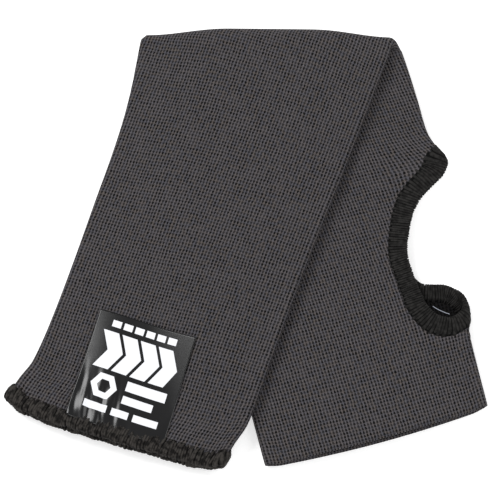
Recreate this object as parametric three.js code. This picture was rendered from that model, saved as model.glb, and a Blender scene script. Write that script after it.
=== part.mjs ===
// Cut resistant sleeve: a knitted tube that lies folded across its middle, with the upper-arm half on top.
// The upper-arm end has an overlocked hem and a label, and the hand half has an overlocked thumb slot in its side.
// Millimetres, +Z up. The sleeve lies on Z = 0, and the fold runs along +X.

import * as THREE from "three";

// Knitted tube, measured laid out flat
const SLEEVE_LENGTH = 459; // outer edge of the arm hem to the hand end
const HAND_LENGTH = 226; // fold to the hand end
const FLAT_WIDTH = 118; // half way along the upper arm
const WALL = 1.5; // thickness of the knit
const CROWN = 2.8; // extra height of a layer along the middle of the flat tube
const END_BOW = 2.6; // how far the middle of each end stands out past its sides
const ARM_CORNER = 2.5; // how far the corners of the upper-arm end draw back further than that
const HAND_CORNER = 1; // the same, at the hand end
const ARM_SKEW = 1.5; // how much further the upper-arm end reaches at its right-hand corner
const BOW_REACH = 60; // stretch before each end in which the rows of knit take up that bow

// How it lies
const FOLD_LEAN = THREE.MathUtils.degToRad(16.2); // the fold against a line square across the tube
const ARM_GAP = 0.5; // air between the upper arm and the half that it lies on
const DROP_LENGTH = 40; // stretch in which the upper arm comes down beside the half below
const SETTLE_LENGTH = 60; // stretch beyond the fold in which the crown of the fold fades out

// Overlocked edges: a yarn binding that straddles the cut edge of the knit
const YARN = 0.5; // thickness of the binding on each face
const EDGE_CLEARANCE = 0.65; // between the knit and the binding
const EDGE_ROOM = 0.8; // between the cut edge of the knit and the binding that goes round it
const HEM_WIDTH = 7; // how far the binding of the thumb slot reaches in from the edge
const ARM_HEM_WIDTH = 5; // the same, for the arm hem
const HEM_OVERHANG = 1.6; // how far it stands out past the edge
const LAYER_CLEARANCE = 1.2; // between the bindings of the two layers, inside the tube

// Thumb slot, cut out of the right-hand side of the hand half
const SLOT_START = 95; // fold to the slot's tip
const SLOT_LENGTH = 84;
const SLOT_DEPTH = 24.5; // in from the side, at its deepest
const TIP_FLARE = 7.2; // how far the side stands out at the slot's tip
const RING_FLARE = 2.5; // the same, at its far end
const FLARE_LENGTH = 12;
const RING_RISE = 5; // height that the stiff edge adds to the top layer at the slot's far end
const RING_LIFT = 2.5; // the same, for the layer below
const RING_REACH = 16; // how far that lift spreads into the knit
const RING_BACK = 7; // the middle of that flare and lift, back from the slot's far end

// Label, a thin plastic tag on top of the upper arm, whose lower edge meets the hem
const LABEL_WIDTH = 51.5;
const LABEL_HEIGHT = 54;
const LABEL_THICKNESS = 0.5;
const LABEL_SKEW = 2; // how much shorter its right-hand side is than its left
const LABEL_INSET = 23.25; // from the left-hand side of the straight tube
const LABEL_CLEARANCE = 0.45;

// Sizes that follow from the ones above
const ARM_LENGTH = SLEEVE_LENGTH - HEM_OVERHANG - HAND_LENGTH; // fold to the cut edge of the upper arm
const BINDING = WALL + 2 * (EDGE_CLEARANCE + YARN); // thickness over a bound edge
const BINDING_PROUD = (BINDING - WALL) / 2;
const SIDE_RADIUS = (BINDING + LAYER_CLEARANCE) / 2; // mid-wall, where the flat tube turns at its sides
const QUARTER_TURN = (Math.PI / 2) * SIDE_RADIUS;
const SLOT_TIP = -SLOT_START;
const SLOT_END = -SLOT_START - SLOT_LENGTH;
const RING_MIDDLE = SLOT_END + RING_BACK;
const LABEL_OFFSET = LABEL_INSET + (LABEL_WIDTH - FLAT_WIDTH) / 2; // its middle from the middle of the tube

// Upper arm: share of its length from the fold, share of the flat width, sideways sway as a share of the width
const ARM_SHAPE = [
  { along: 0, width: 1.1, sway: 0.004 },
  { along: 0.25, width: 1.013, sway: 0.025 },
  { along: 0.5, width: 0.98, sway: 0.006 },
  { along: 0.75, width: 0.965, sway: -0.014 },
  { along: 0.9, width: 0.972, sway: -0.034 },
  { along: 0.955, width: 0.974, sway: -0.066 },
  { along: 1, width: 0.976, sway: -0.086 },
];

// Hand half, with the same columns
const HAND_SHAPE = [
  { along: 0, width: 1.1, sway: 0.004 },
  { along: 0.3, width: 1.072, sway: 0.02 },
  { along: 0.65, width: 1.012, sway: -0.02 },
  { along: 1, width: 0.99, sway: -0.042 },
];

// Cut edge of the thumb slot: share of its length from the tip, and how far the cut runs into the top layer and
// into the layer below, as shares of its depth. A negative share has crossed the side to the other layer.
const SLOT_EDGE = [
  { along: 0, top: 0, below: 0 },
  { along: 0.011, top: 0.07, below: 0.07 },
  { along: 0.0585, top: 0.18, below: 0.18 },
  { along: 0.124, top: 0.41, below: 0.41 },
  { along: 0.176, top: 0.575, below: 0.575 },
  { along: 0.241, top: 0.715, below: 0.715 },
  { along: 0.349, top: 0.87, below: 0.87 },
  { along: 0.501, top: 1, below: 1 },
  { along: 0.622, top: 0.965, below: 0.97 },
  { along: 0.687, top: 0.94, below: 0.88 },
  { along: 0.729, top: 0.92, below: 0.76 },
  { along: 0.75, top: 0.913, below: 0.58 },
  { along: 0.77, top: 0.907, below: 0.35 },
  { along: 0.805, top: 0.897, below: 0.175 },
  { along: 0.858, top: 0.88, below: 0.06 },
  { along: 0.935, top: 0.775, below: -0.055 },
  { along: 0.965, top: 0.69, below: -0.13 },
  { along: 0.99, top: 0.56, below: -0.27 },
  { along: 1, top: 0.43, below: -0.43 },
];

// Steps of the faceted surfaces
const ROW_STEP = 20; // along the tube
const BEND_ROWS = 8; // around the fold
const TURN_STEPS = 3; // in a quarter turn of the tube's right-hand side, where the slot is
const LEFT_STEPS = 2; // the same, on the left
const OUTER_STATIONS = [1, 0.965, 0.93, 0.89, 0.85, 0.68, 0.4, 0.1, -0.15, -0.35, -0.5, -0.65, -0.82, -1]; // shares
const INNER_STATIONS = [1, 0.95, 0.88, 0.75, 0.5, 0.25, 0, -0.35, -0.5, -0.65, -0.82, -1]; // on the inner layer
const SLOT_BLEND = 0.62; // share of the flat width over which the columns make room for the slot
const EDGE_STEP = 2; // around the edge of the slot, where it crosses the side
const LEG_STEPS = 4; // across the binding of the slot
const OUTLINE_SAMPLES = 600;

function smooth(x) {
  const c = Math.min(Math.max(x, 0), 1);
  return c * c * (3 - 2 * c);
}

function clamp(x, low, high) {
  return Math.min(Math.max(x, low), high);
}

function bump(x) {
  return Math.exp(-x * x);
}

// Reads one column of a table at a share along it, on a smooth curve through the rows.
function read(rows, share, column) {
  let i = 0;
  while (i < rows.length - 2 && share > rows[i + 1].along) {
    i += 1;
  }
  const slope = (k) => {
    const before = rows[Math.max(k - 1, 0)];
    const after = rows[Math.min(k + 1, rows.length - 1)];
    return (after[column] - before[column]) / (after.along - before.along);
  };
  const step = rows[i + 1].along - rows[i].along;
  const f = clamp((share - rows[i].along) / step, 0, 1);
  const rise = f * f * (3 - 2 * f);
  return (
    rows[i][column] * (1 - rise) +
    rows[i + 1][column] * rise +
    step * slope(i) * (f - 2 * f * f + f * f * f) +
    step * slope(i + 1) * (f * f * f - f * f)
  );
}

// The tube is measured by t, along it from the fold, with the upper arm at t > 0, and by p, around its mid-wall
// from the right-hand side. From p = 0 the path goes over the outer layer to the left and back along the inner one.
function halfWidth(t) {
  const shape = t >= 0 ? ARM_SHAPE : HAND_SHAPE;
  const length = t >= 0 ? ARM_LENGTH : HAND_LENGTH;
  return (FLAT_WIDTH / 2) * read(shape, Math.abs(t) / length, "width");
}

function sway(t) {
  const shape = t >= 0 ? ARM_SHAPE : HAND_SHAPE;
  const length = t >= 0 ? ARM_LENGTH : HAND_LENGTH;
  return FLAT_WIDTH * read(shape, Math.abs(t) / length, "sway");
}

// Half of the flat stretch between the turns at the two sides.
function flatHalf(t) {
  return halfWidth(t) - WALL / 2 - SIDE_RADIUS;
}

function girth(t) {
  return 4 * flatHalf(t) + 4 * QUARTER_TURN;
}

function crown(x) {
  return CROWN * (1 - smooth((Math.abs(x) - 0.35) / 0.65));
}

// Cross-section: s across the tube, layer from 0 on the inner layer to 1 on the outer one, crowned by bulge.
function section(p, t) {
  const a = flatHalf(t);
  const around = girth(t);
  const q = ((p % around) + around) % around;
  const turned = (angle) => ({
    cos: SIDE_RADIUS * Math.cos(angle),
    layer: (1 + Math.sin(angle)) / 2,
  });
  if (q < QUARTER_TURN) {
    const turn = turned(q / SIDE_RADIUS);
    return { s: a + turn.cos, layer: turn.layer, outer: 0, inner: 0 };
  }
  if (q < QUARTER_TURN + 2 * a) {
    const s = a - (q - QUARTER_TURN);
    return { s, layer: 1, outer: crown(s / a), inner: 0 };
  }
  if (q < 3 * QUARTER_TURN + 2 * a) {
    const turn = turned((q - 2 * a) / SIDE_RADIUS);
    return { s: -a + turn.cos, layer: turn.layer, outer: 0, inner: 0 };
  }
  if (q < 3 * QUARTER_TURN + 4 * a) {
    const s = q - 3 * QUARTER_TURN - 3 * a;
    return { s, layer: 0, outer: 0, inner: crown(s / a) };
  }
  const turn = turned((q - around) / SIDE_RADIUS);
  return { s: a + turn.cos, layer: turn.layer, outer: 0, inner: 0 };
}

const COS_LEAN = Math.cos(FOLD_LEAN);
const SIN_LEAN = Math.sin(FOLD_LEAN);
const STACK = ARM_GAP + WALL + 4 * SIDE_RADIUS; // outer wall to outer wall through both halves, without crowns
const BEND_REFERENCE = (Math.PI / 4) * (STACK + CROWN);

// Height of the mid-wall of the upper arm's lower layer over the half that it lies on, or over the floor.
function armFloor(c, d, bend, t) {
  const n = d + BEND_REFERENCE + (bend - BEND_REFERENCE) * Math.exp(-d / SETTLE_LENGTH);
  const along = -(c * SIN_LEAN + n * COS_LEAN);
  const across = c * COS_LEAN - n * SIN_LEAN - sway(along);
  const beside = Math.max(-across - halfWidth(along), 0);
  const on = 1 - smooth(beside / DROP_LENGTH);
  const below = (ARM_GAP + WALL + 2 * SIDE_RADIUS) * on + crown(clamp(across / flatHalf(along), -1, 1));
  const hemLift = BINDING_PROUD * smooth((t - ARM_LENGTH + 4 * HEM_WIDTH) / (3 * HEM_WIDTH));
  return WALL / 2 + below + hemLift;
}

// What the bound edge of the thumb slot adds to the height of the hand half.
function slotRise(s, t, layer) {
  const inFromSide = halfWidth(t) - s;
  const reach = 3 * HEM_WIDTH;
  const near = smooth((SLOT_DEPTH + HEM_WIDTH + 2 + reach - inFromSide) / reach);
  const from = smooth((SLOT_TIP + HEM_WIDTH + 4 + reach - t) / reach);
  const to = smooth((t - SLOT_END + HEM_WIDTH + 4 + reach) / reach);
  const across = bump((inFromSide - SLOT_DEPTH / 2) / RING_REACH);
  const topEdge = bump((t - RING_MIDDLE) / RING_REACH) * across;
  const belowEdge = bump((t - RING_MIDDLE - 0.18 * SLOT_LENGTH) / (0.6 * RING_REACH)) * across;
  return BINDING_PROUD * near * from * to + RING_RISE * topEdge * (1 - layer) + RING_LIFT * belowEdge * layer;
}

// How far a row near an end of the tube bows out past its corners, away from the fold.
function endBow(s, t) {
  const length = t >= 0 ? ARM_LENGTH : HAND_LENGTH;
  const x = s / halfWidth(t);
  const corner = (t >= 0 ? ARM_CORNER : HAND_CORNER) * smooth((Math.abs(x) - 0.86) / 0.14);
  const skew = t >= 0 ? ARM_SKEW * x : 0;
  const bow = END_BOW * (1 - x * x) - corner + skew;
  return Math.sign(t) * bow * smooth(1 - (length - Math.abs(t)) / BOW_REACH);
}

// How far the side stands out beyond the plain tube at the two ends of the thumb slot.
function sideFlare(s, t) {
  const tip = TIP_FLARE * bump((t - SLOT_TIP) / FLARE_LENGTH);
  const ring = RING_FLARE * bump((t - RING_MIDDLE) / FLARE_LENGTH);
  return (tip + ring) * smooth((2 * s) / flatHalf(t) - 1);
}

// Mid-wall of the sleeve as it lies.
function lay(p, t) {
  const cut = section(p, t);
  const s = cut.s + sway(t) + sideFlare(cut.s, t);
  const down = t + endBow(cut.s, t);
  const n = down * COS_LEAN + s * SIN_LEAN; // distance from the fold line
  const c = s * COS_LEAN - down * SIN_LEAN; // place along the fold line
  const crownHere = crown(clamp((c * COS_LEAN) / flatHalf(0), -1, 1));
  const bend = (Math.PI / 4) * (STACK + 2 * crownHere); // half the length of the bend
  const over = Math.max(Math.abs(n) - bend, 0);
  const d = over + (bend - BEND_REFERENCE) * (1 - Math.exp(-over / SETTLE_LENGTH));
  const arm = armFloor(c, d, bend, t) + 2 * SIDE_RADIUS * cut.layer + cut.outer;
  const hand = WALL / 2 + 2 * SIDE_RADIUS * (1 - cut.layer) + cut.inner + slotRise(cut.s, t, cut.layer);
  if (over > 0) {
    return new THREE.Vector3(c, -d, n > 0 ? arm : hand);
  }
  const angle = (Math.PI / 2) * (1 - n / bend);
  const radius = (arm - hand) / 2;
  return new THREE.Vector3(c, radius * Math.sin(angle), (arm + hand) / 2 + radius * Math.cos(angle));
}

// A point at some height off the mid-wall, outwards from the tube.
function layOff(p, t, height) {
  const small = 0.02;
  const around = lay(p + small, t).sub(lay(p - small, t));
  const along = lay(p, t + small).sub(lay(p, t - small));
  const normal = around.cross(along).normalize();
  return lay(p, t).addScaledVector(normal, height);
}

// Edge of the thumb slot as a closed curve in p and t.
function slotOutline() {
  const top = SLOT_EDGE.map((row) => new THREE.Vector3(-SLOT_DEPTH * row.top, SLOT_TIP - SLOT_LENGTH * row.along, 0));
  const below = SLOT_EDGE.map(
    (row) => new THREE.Vector3(SLOT_DEPTH * row.below, SLOT_TIP - SLOT_LENGTH * row.along, 0),
  );
  const round = [...top, ...below.slice(1, -1).reverse()];
  return new THREE.CatmullRomCurve3(round, true, "centripetal");
}

const SLOT_CURVE = slotOutline();
const SLOT_POINTS = SLOT_CURVE.getPoints(OUTLINE_SAMPLES);

// Where the slot's edge crosses a row: how far the row is cut back on the top layer and on the layer below.
function slotCut(t) {
  const crossings = [];
  SLOT_POINTS.forEach((here, i) => {
    const next = SLOT_POINTS[(i + 1) % SLOT_POINTS.length];
    if ((here.y - t) * (next.y - t) <= 0 && here.y !== next.y) {
      crossings.push(here.x + ((next.x - here.x) * (t - here.y)) / (next.y - here.y));
    }
  });
  return { top: -Math.min(...crossings), below: Math.max(...crossings) };
}

// The columns of the knit as places around the mid-wall of a whole row.
function columns(t) {
  const a = flatHalf(t);
  const half = (stations) => [
    ...Array.from({ length: TURN_STEPS }, (unused, i) => (QUARTER_TURN * i) / TURN_STEPS),
    ...stations.slice(0, -1).map((share) => QUARTER_TURN + a * (1 - share)),
    ...Array.from({ length: LEFT_STEPS }, (unused, i) => QUARTER_TURN * (1 + i / LEFT_STEPS) + 2 * a),
  ];
  const around = girth(t);
  const back = half(INNER_STATIONS).slice(1).reverse();
  return [...half(OUTER_STATIONS), around / 2, ...back.map((v) => around - v)];
}

// Rows across the slot, closer together where its edge crosses the side of the tube.
function slotRows() {
  const list = [];
  const finest = QUARTER_TURN / TURN_STEPS;
  SLOT_EDGE.slice(0, -1).forEach((row, i) => {
    const next = SLOT_EDGE[i + 1];
    const nearest = SLOT_DEPTH * Math.min(Math.abs(row.below), Math.abs(next.below));
    const moved = SLOT_DEPTH * Math.abs(next.below - row.below);
    const count = nearest < QUARTER_TURN ? Math.ceil(moved / finest) : 1;
    for (let k = 0; k < count; k += 1) {
      const t = SLOT_TIP - SLOT_LENGTH * (row.along + ((next.along - row.along) * k) / count);
      list.push({ t, ...slotCut(t), whole: false });
    }
  });
  const last = SLOT_EDGE[SLOT_EDGE.length - 1];
  list[0] = { t: SLOT_TIP, top: 0, below: 0, whole: true };
  list.push({ t: SLOT_END, top: SLOT_DEPTH * last.top, below: SLOT_DEPTH * last.below, whole: true });
  return list;
}

// The rows of the knit: t on the middle of the tube, how far the fold's lean tilts them, and the slot's cut.
function rows() {
  const list = [];
  const bendHalf = BEND_REFERENCE + 2;
  const armStart = ARM_LENGTH - ARM_HEM_WIDTH;
  const spread = (from, to, step) => {
    const count = Math.max(Math.round(Math.abs(to - from) / step), 1);
    for (let i = 0; i < count; i += 1) {
      list.push(from + ((to - from) * i) / count);
    }
  };
  spread(ARM_LENGTH, armStart, ARM_HEM_WIDTH);
  spread(armStart, bendHalf, ROW_STEP);
  spread(bendHalf, -bendHalf, (2 * bendHalf) / BEND_ROWS);
  spread(-bendHalf, SLOT_TIP + 3 * HEM_WIDTH, ROW_STEP);
  spread(SLOT_TIP + 3 * HEM_WIDTH, SLOT_TIP, 0.7 * HEM_WIDTH);
  const plain = list.map((t) => ({ t, top: 0, below: 0, whole: true }));
  const slot = slotRows();
  list.length = 0;
  spread(SLOT_END, SLOT_END - 2 * HEM_WIDTH, 0.7 * HEM_WIDTH);
  spread(SLOT_END - 2 * HEM_WIDTH, -HAND_LENGTH, ROW_STEP);
  list.push(-HAND_LENGTH);
  const seam = SLOT_DEPTH * SLOT_EDGE[SLOT_EDGE.length - 1].top;
  const last = list.slice(1).map((t) => {
    const shift = seam * (1 - smooth((SLOT_END - t) / SLOT_DEPTH));
    return { t, top: shift, below: -shift, whole: true };
  });
  return [...plain, ...slot, ...last];
}

// Places of one row's points around the tube, squeezed towards the middle where the slot cuts the row back.
function rowPoints(row) {
  const around = girth(row.t);
  const blend = SLOT_BLEND * FLAT_WIDTH;
  return columns(row.t)
    .concat(around)
    .map((p) => {
      if (p < blend) {
        return row.below + (p * (blend - row.below)) / blend;
      }
      if (around - p < blend) {
        return around - row.top - ((around - p) * (blend - row.top)) / blend;
      }
      return p;
    });
}

// Tilts a row near the fold so that it runs along the fold.
function tilted(p, t) {
  const share = 1 - smooth((Math.abs(t) - 15) / 60);
  return t - (section(p, t).s + sway(t)) * Math.tan(FOLD_LEAN) * share;
}

// Builds a closed mesh from points and faces, turned so that its faces point out.
function closedMesh(name, points, faces, material) {
  let volume = 0;
  faces.forEach(([i, j, k]) => {
    volume += points[i].dot(points[j].clone().cross(points[k]));
  });
  const outwards = volume > 0 ? faces : faces.map(([i, j, k]) => [i, k, j]);
  const geometry = new THREE.BufferGeometry();
  geometry.setAttribute("position", new THREE.Float32BufferAttribute(points.flatMap((v) => v.toArray()), 3));
  geometry.setIndex(outwards.flat());
  geometry.computeVertexNormals();
  const mesh = new THREE.Mesh(geometry, material);
  mesh.name = name;
  return mesh;
}

// Knitted tube: an outer and an inner skin over the same rows and columns, joined by rims at both ends and
// around the slot.
function sleeveBody(material) {
  const points = [];
  const faces = [];
  const grid = rows().map((row) => {
    const places = rowPoints(row);
    const last = places.length - 1;
    const skins = [WALL / 2, -WALL / 2].map((height) => {
      const line = places.map((p, i) => {
        if (row.whole && i === last) {
          return null;
        }
        points.push(layOff(p, tilted(p, row.t), height));
        return points.length - 1;
      });
      if (row.whole) {
        line[last] = line[0];
      }
      return line;
    });
    return { outer: skins[0], inner: skins[1], whole: row.whole };
  });
  const quad = (i, j, k, l) => {
    faces.push([i, j, k], [i, k, l]);
  };
  for (let r = 0; r < grid.length - 1; r += 1) {
    const here = grid[r];
    const next = grid[r + 1];
    const last = here.outer.length - 1;
    for (let i = 0; i < last; i += 1) {
      quad(here.outer[i], here.outer[i + 1], next.outer[i + 1], next.outer[i]);
      quad(here.inner[i + 1], here.inner[i], next.inner[i], next.inner[i + 1]);
    }
    if (!here.whole || !next.whole) {
      quad(here.inner[0], here.outer[0], next.outer[0], next.inner[0]);
      quad(here.outer[last], here.inner[last], next.inner[last], next.outer[last]);
    }
  }
  [grid[0], grid[grid.length - 1]].forEach((row, end) => {
    for (let i = 0; i < row.outer.length - 1; i += 1) {
      const rim = [row.outer[i], row.inner[i], row.inner[i + 1], row.outer[i + 1]];
      quad(...(end === 0 ? rim : rim.reverse()));
    }
  });
  return closedMesh("sleeve_body", points, faces, material);
}

// Section of a binding that straddles an edge: reach in from the edge, and height off the mid-wall. The leg on
// the outside of the tube takes some steps where it has to bend over the tube's side.
function bindingSection(reachIn, legSteps) {
  const groove = WALL / 2 + EDGE_CLEARANCE;
  const face = BINDING / 2;
  const chamfer = YARN;
  const leg = (from, to, height) =>
    Array.from({ length: legSteps + 1 }, (unused, k) => ({ reach: from + ((to - from) * k) / legSteps, height }));
  return [
    ...leg(-EDGE_ROOM, reachIn, groove),
    ...leg(reachIn - chamfer, chamfer - HEM_OVERHANG, face),
    { reach: -HEM_OVERHANG, height: face - chamfer },
    { reach: -HEM_OVERHANG, height: chamfer - face },
    { reach: chamfer - HEM_OVERHANG, height: -face },
    { reach: reachIn - chamfer, height: -face },
    { reach: reachIn, height: -groove },
    { reach: -EDGE_ROOM, height: -groove },
  ];
}

// Sweeps the binding's section around a closed edge. A station has its place and the direction into the knit.
function binding(name, stations, reachIn, legSteps, material) {
  const profile = bindingSection(reachIn, legSteps);
  const points = stations.flatMap((edge) =>
    profile.map(({ reach, height }) => layOff(edge.p + reach * edge.intoP, edge.t + reach * edge.intoT, height)),
  );
  const faces = [];
  for (let i = 0; i < stations.length; i += 1) {
    const here = i * profile.length;
    const next = ((i + 1) % stations.length) * profile.length;
    for (let j = 0; j < profile.length; j += 1) {
      const k = (j + 1) % profile.length;
      faces.push([here + j, next + j, next + k], [here + j, next + k, here + k]);
    }
  }
  return closedMesh(name, points, faces, material);
}

function armHem(material) {
  const stations = columns(ARM_LENGTH).map((p) => ({ p, t: ARM_LENGTH, intoP: 0, intoT: -1 }));
  return binding("arm_hem", stations, ARM_HEM_WIDTH, 1, material);
}

// The slot's stations are closer together where its edge turns a corner or crosses the side of the tube.
function thumbHem(material) {
  const count = SLOT_POINTS.length - 1;
  const lines = [0, 0.33, 0.67, 1].map((share) =>
    SLOT_POINTS.map((place, i) => {
      const tangent = SLOT_CURVE.getTangent(i / count);
      const reach = share * HEM_WIDTH;
      return new THREE.Vector3(place.x + reach * tangent.y, place.y - reach * tangent.x, 0);
    }),
  );
  const overSide = (line, i) => {
    const beyond = Math.abs(line[i].x) > QUARTER_TURN + YARN;
    return beyond ? 0 : Math.abs(line[i + 1].x - line[i].x);
  };
  const travelled = [0];
  for (let i = 0; i < count; i += 1) {
    const step = Math.max(...lines.map((line) => line[i].distanceTo(line[i + 1])));
    const side = Math.max(...lines.map((line) => overSide(line, i)));
    travelled.push(travelled[i] + step / 2 + side);
  }
  const total = travelled[count];
  const stationCount = Math.round(total / EDGE_STEP);
  const stations = Array.from({ length: stationCount }, (unused, k) => {
    const at = (total * k) / stationCount;
    const i = travelled.findIndex((v) => v > at) - 1;
    const f = (at - travelled[i]) / (travelled[i + 1] - travelled[i]);
    const place = SLOT_CURVE.getPoint((i + f) / count);
    const tangent = SLOT_CURVE.getTangent((i + f) / count);
    return { p: place.x, t: place.y, intoP: tangent.y, intoT: -tangent.x };
  });
  return binding("thumb_hem", stations, HEM_WIDTH, LEG_STEPS, material);
}

// Thin tag that follows the upper arm's top layer.
function label(material) {
  const across = 6;
  const down = 8;
  const bottom = ARM_LENGTH - ARM_HEM_WIDTH - LABEL_CLEARANCE;
  const base = WALL / 2 + LABEL_CLEARANCE;
  const points = [];
  [base + LABEL_THICKNESS, base].forEach((height) => {
    for (let j = 0; j <= down; j += 1) {
      for (let i = 0; i <= across; i += 1) {
        const t = bottom - (LABEL_HEIGHT - LABEL_SKEW * (i / across - 0.5)) * (1 - j / down);
        const s = LABEL_OFFSET - sway(t) + LABEL_WIDTH * (i / across - 0.5);
        points.push(layOff(QUARTER_TURN + flatHalf(t) - s, t, height));
      }
    }
  });
  const skin = (across + 1) * (down + 1);
  const at = (i, j) => j * (across + 1) + i;
  const faces = [];
  const quad = (i, j, k, l) => {
    faces.push([i, j, k], [i, k, l]);
  };
  for (let j = 0; j < down; j += 1) {
    for (let i = 0; i < across; i += 1) {
      const corners = [at(i, j), at(i, j + 1), at(i + 1, j + 1), at(i + 1, j)];
      quad(...corners);
      quad(...corners.map((v) => v + skin).reverse());
    }
  }
  const rim = [];
  for (let i = 0; i < across; i += 1) {
    rim.push(at(i, 0));
  }
  for (let j = 0; j < down; j += 1) {
    rim.push(at(across, j));
  }
  for (let i = across; i > 0; i -= 1) {
    rim.push(at(i, down));
  }
  for (let j = down; j > 0; j -= 1) {
    rim.push(at(0, j));
  }
  rim.forEach((v, i) => {
    const w = rim[(i + 1) % rim.length];
    quad(v, w, w + skin, v + skin);
  });
  return closedMesh("label", points, faces, material);
}

const knit = new THREE.MeshStandardMaterial({ color: 0x4a4648, roughness: 0.95, metalness: 0 });
const yarn = new THREE.MeshStandardMaterial({ color: 0x1c1a18, roughness: 0.9, metalness: 0 });
const tag = new THREE.MeshStandardMaterial({ color: 0x17171a, roughness: 0.3, metalness: 0 });

const sleeve = new THREE.Group();
sleeve.add(sleeveBody(knit), armHem(yarn), thumbHem(yarn), label(tag));

// The origin is below the middle of the sleeve's box, on the surface that it lies on.
const box = new THREE.Box3().setFromObject(sleeve);
sleeve.position.set(-(box.min.x + box.max.x) / 2, -(box.min.y + box.max.y) / 2, -box.min.z);

export default sleeve;
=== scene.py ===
import math

import bpy
import numpy as np
from mathutils import Matrix, Vector


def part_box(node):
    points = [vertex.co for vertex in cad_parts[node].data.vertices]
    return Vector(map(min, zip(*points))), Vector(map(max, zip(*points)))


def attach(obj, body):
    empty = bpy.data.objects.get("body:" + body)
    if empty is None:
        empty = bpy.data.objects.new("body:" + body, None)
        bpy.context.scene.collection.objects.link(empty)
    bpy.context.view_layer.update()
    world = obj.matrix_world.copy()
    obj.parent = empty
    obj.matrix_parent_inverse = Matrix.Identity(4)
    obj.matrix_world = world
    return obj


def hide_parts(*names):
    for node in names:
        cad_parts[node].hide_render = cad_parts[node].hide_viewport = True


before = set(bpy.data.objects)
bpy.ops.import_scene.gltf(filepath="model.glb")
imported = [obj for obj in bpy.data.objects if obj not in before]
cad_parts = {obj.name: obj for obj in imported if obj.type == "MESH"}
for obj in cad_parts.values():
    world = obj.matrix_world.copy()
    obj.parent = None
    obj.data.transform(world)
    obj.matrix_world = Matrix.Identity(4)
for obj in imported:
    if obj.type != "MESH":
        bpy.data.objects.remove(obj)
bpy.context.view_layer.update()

# The knitted tube is one seamless piece off a glove machine, 1.5 mm thick, of a heathered charcoal yarn.
# It lies flat and folded across its middle, the upper-arm half on top, with the thumb slot cut in its side.
# It is a flat grid, laid as the cloth lies, joined at the tube's right-hand side and given its wall.
MM = 0.001
FLAT_WIDTH = 118
ARM_LENGTH = 231.4  # fold to the cut edge of the upper arm
HAND_LENGTH = 226  # fold to the hand end
WALL = 1.5
CROWN = 2.8  # extra height of a layer along the middle of the flat tube
END_BOW = 2.6  # how far the middle of each end stands out past its sides
ARM_CORNER = 2.5  # how far the corners of the upper-arm end draw back further than that
HAND_CORNER = 1
ARM_SKEW = 1.5  # how much further the upper-arm end reaches at its right-hand corner
BOW_REACH = 60
FOLD_LEAN = math.radians(16.2)
ARM_GAP = 0.5
DROP_LENGTH = 40
SETTLE_LENGTH = 60
HEM_WIDTH = 7
HEM_OVERHANG = 1.6
BINDING = 3.8  # thickness over a bound edge
SIDE_RADIUS = 2.5  # mid-wall, where the flat tube turns at its sides
QUARTER_TURN = math.pi / 2 * SIDE_RADIUS
SLOT_TIP = -95
SLOT_LENGTH = 84
SLOT_END = SLOT_TIP - SLOT_LENGTH
SLOT_DEPTH = 24.5
TIP_FLARE = 7.2
RING_FLARE = 2.5
FLARE_LENGTH = 12
RING_RISE = 5
RING_LIFT = 2.5
RING_REACH = 16
RING_MIDDLE = SLOT_END + 7  # middle of the flare and the lift at the far end
BINDING_PROUD = (BINDING - WALL) / 2
STACK = ARM_GAP + WALL + 4 * SIDE_RADIUS
BEND_REFERENCE = math.pi / 4 * (STACK + CROWN)

# Share of the half's length from the fold, width and sideways sway as shares of the flat width
ARM_SHAPE = [
    dict(along=0, width=1.1, sway=0.004),
    dict(along=0.25, width=1.013, sway=0.025),
    dict(along=0.5, width=0.98, sway=0.006),
    dict(along=0.75, width=0.965, sway=-0.014),
    dict(along=0.9, width=0.972, sway=-0.034),
    dict(along=0.955, width=0.974, sway=-0.066),
    dict(along=1, width=0.976, sway=-0.086),
]
HAND_SHAPE = [
    dict(along=0, width=1.1, sway=0.004),
    dict(along=0.3, width=1.072, sway=0.02),
    dict(along=0.65, width=1.012, sway=-0.02),
    dict(along=1, width=0.99, sway=-0.042),
]

# Cut edge of the slot: share of its length from the tip, and how far the cut runs into the top layer and into
# the layer below, as shares of its depth. A negative share has crossed the side to the other layer.
SLOT_EDGE = [
    dict(along=0, top=0, below=0),
    dict(along=0.011, top=0.07, below=0.07),
    dict(along=0.0585, top=0.18, below=0.18),
    dict(along=0.124, top=0.41, below=0.41),
    dict(along=0.176, top=0.575, below=0.575),
    dict(along=0.241, top=0.715, below=0.715),
    dict(along=0.349, top=0.87, below=0.87),
    dict(along=0.501, top=1, below=1),
    dict(along=0.622, top=0.965, below=0.97),
    dict(along=0.687, top=0.94, below=0.88),
    dict(along=0.729, top=0.92, below=0.76),
    dict(along=0.75, top=0.913, below=0.58),
    dict(along=0.77, top=0.907, below=0.35),
    dict(along=0.805, top=0.897, below=0.175),
    dict(along=0.858, top=0.88, below=0.06),
    dict(along=0.935, top=0.775, below=-0.055),
    dict(along=0.965, top=0.69, below=-0.13),
    dict(along=0.99, top=0.56, below=-0.27),
    dict(along=1, top=0.43, below=-0.43),
]


def smooth(x):
    c = np.clip(x, 0, 1)
    return c * c * (3 - 2 * c)


def bump(x):
    return np.exp(-x * x)


def read(rows, share, column):
    """One column of a table at a share along it, on a smooth curve through the rows."""
    along = np.array([row["along"] for row in rows], float)
    value = np.array([row[column] for row in rows], float)
    before = np.maximum(np.arange(len(rows)) - 1, 0)
    after = np.minimum(np.arange(len(rows)) + 1, len(rows) - 1)
    slope = (value[after] - value[before]) / (along[after] - along[before])
    i = np.clip(np.searchsorted(along, share) - 1, 0, len(rows) - 2)
    step = along[i + 1] - along[i]
    f = np.clip((share - along[i]) / step, 0, 1)
    rise = smooth(f)
    level = value[i] * (1 - rise) + value[i + 1] * rise
    return level + step * (slope[i] * f * (1 - f) ** 2 - slope[i + 1] * f * f * (1 - f))


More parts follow.
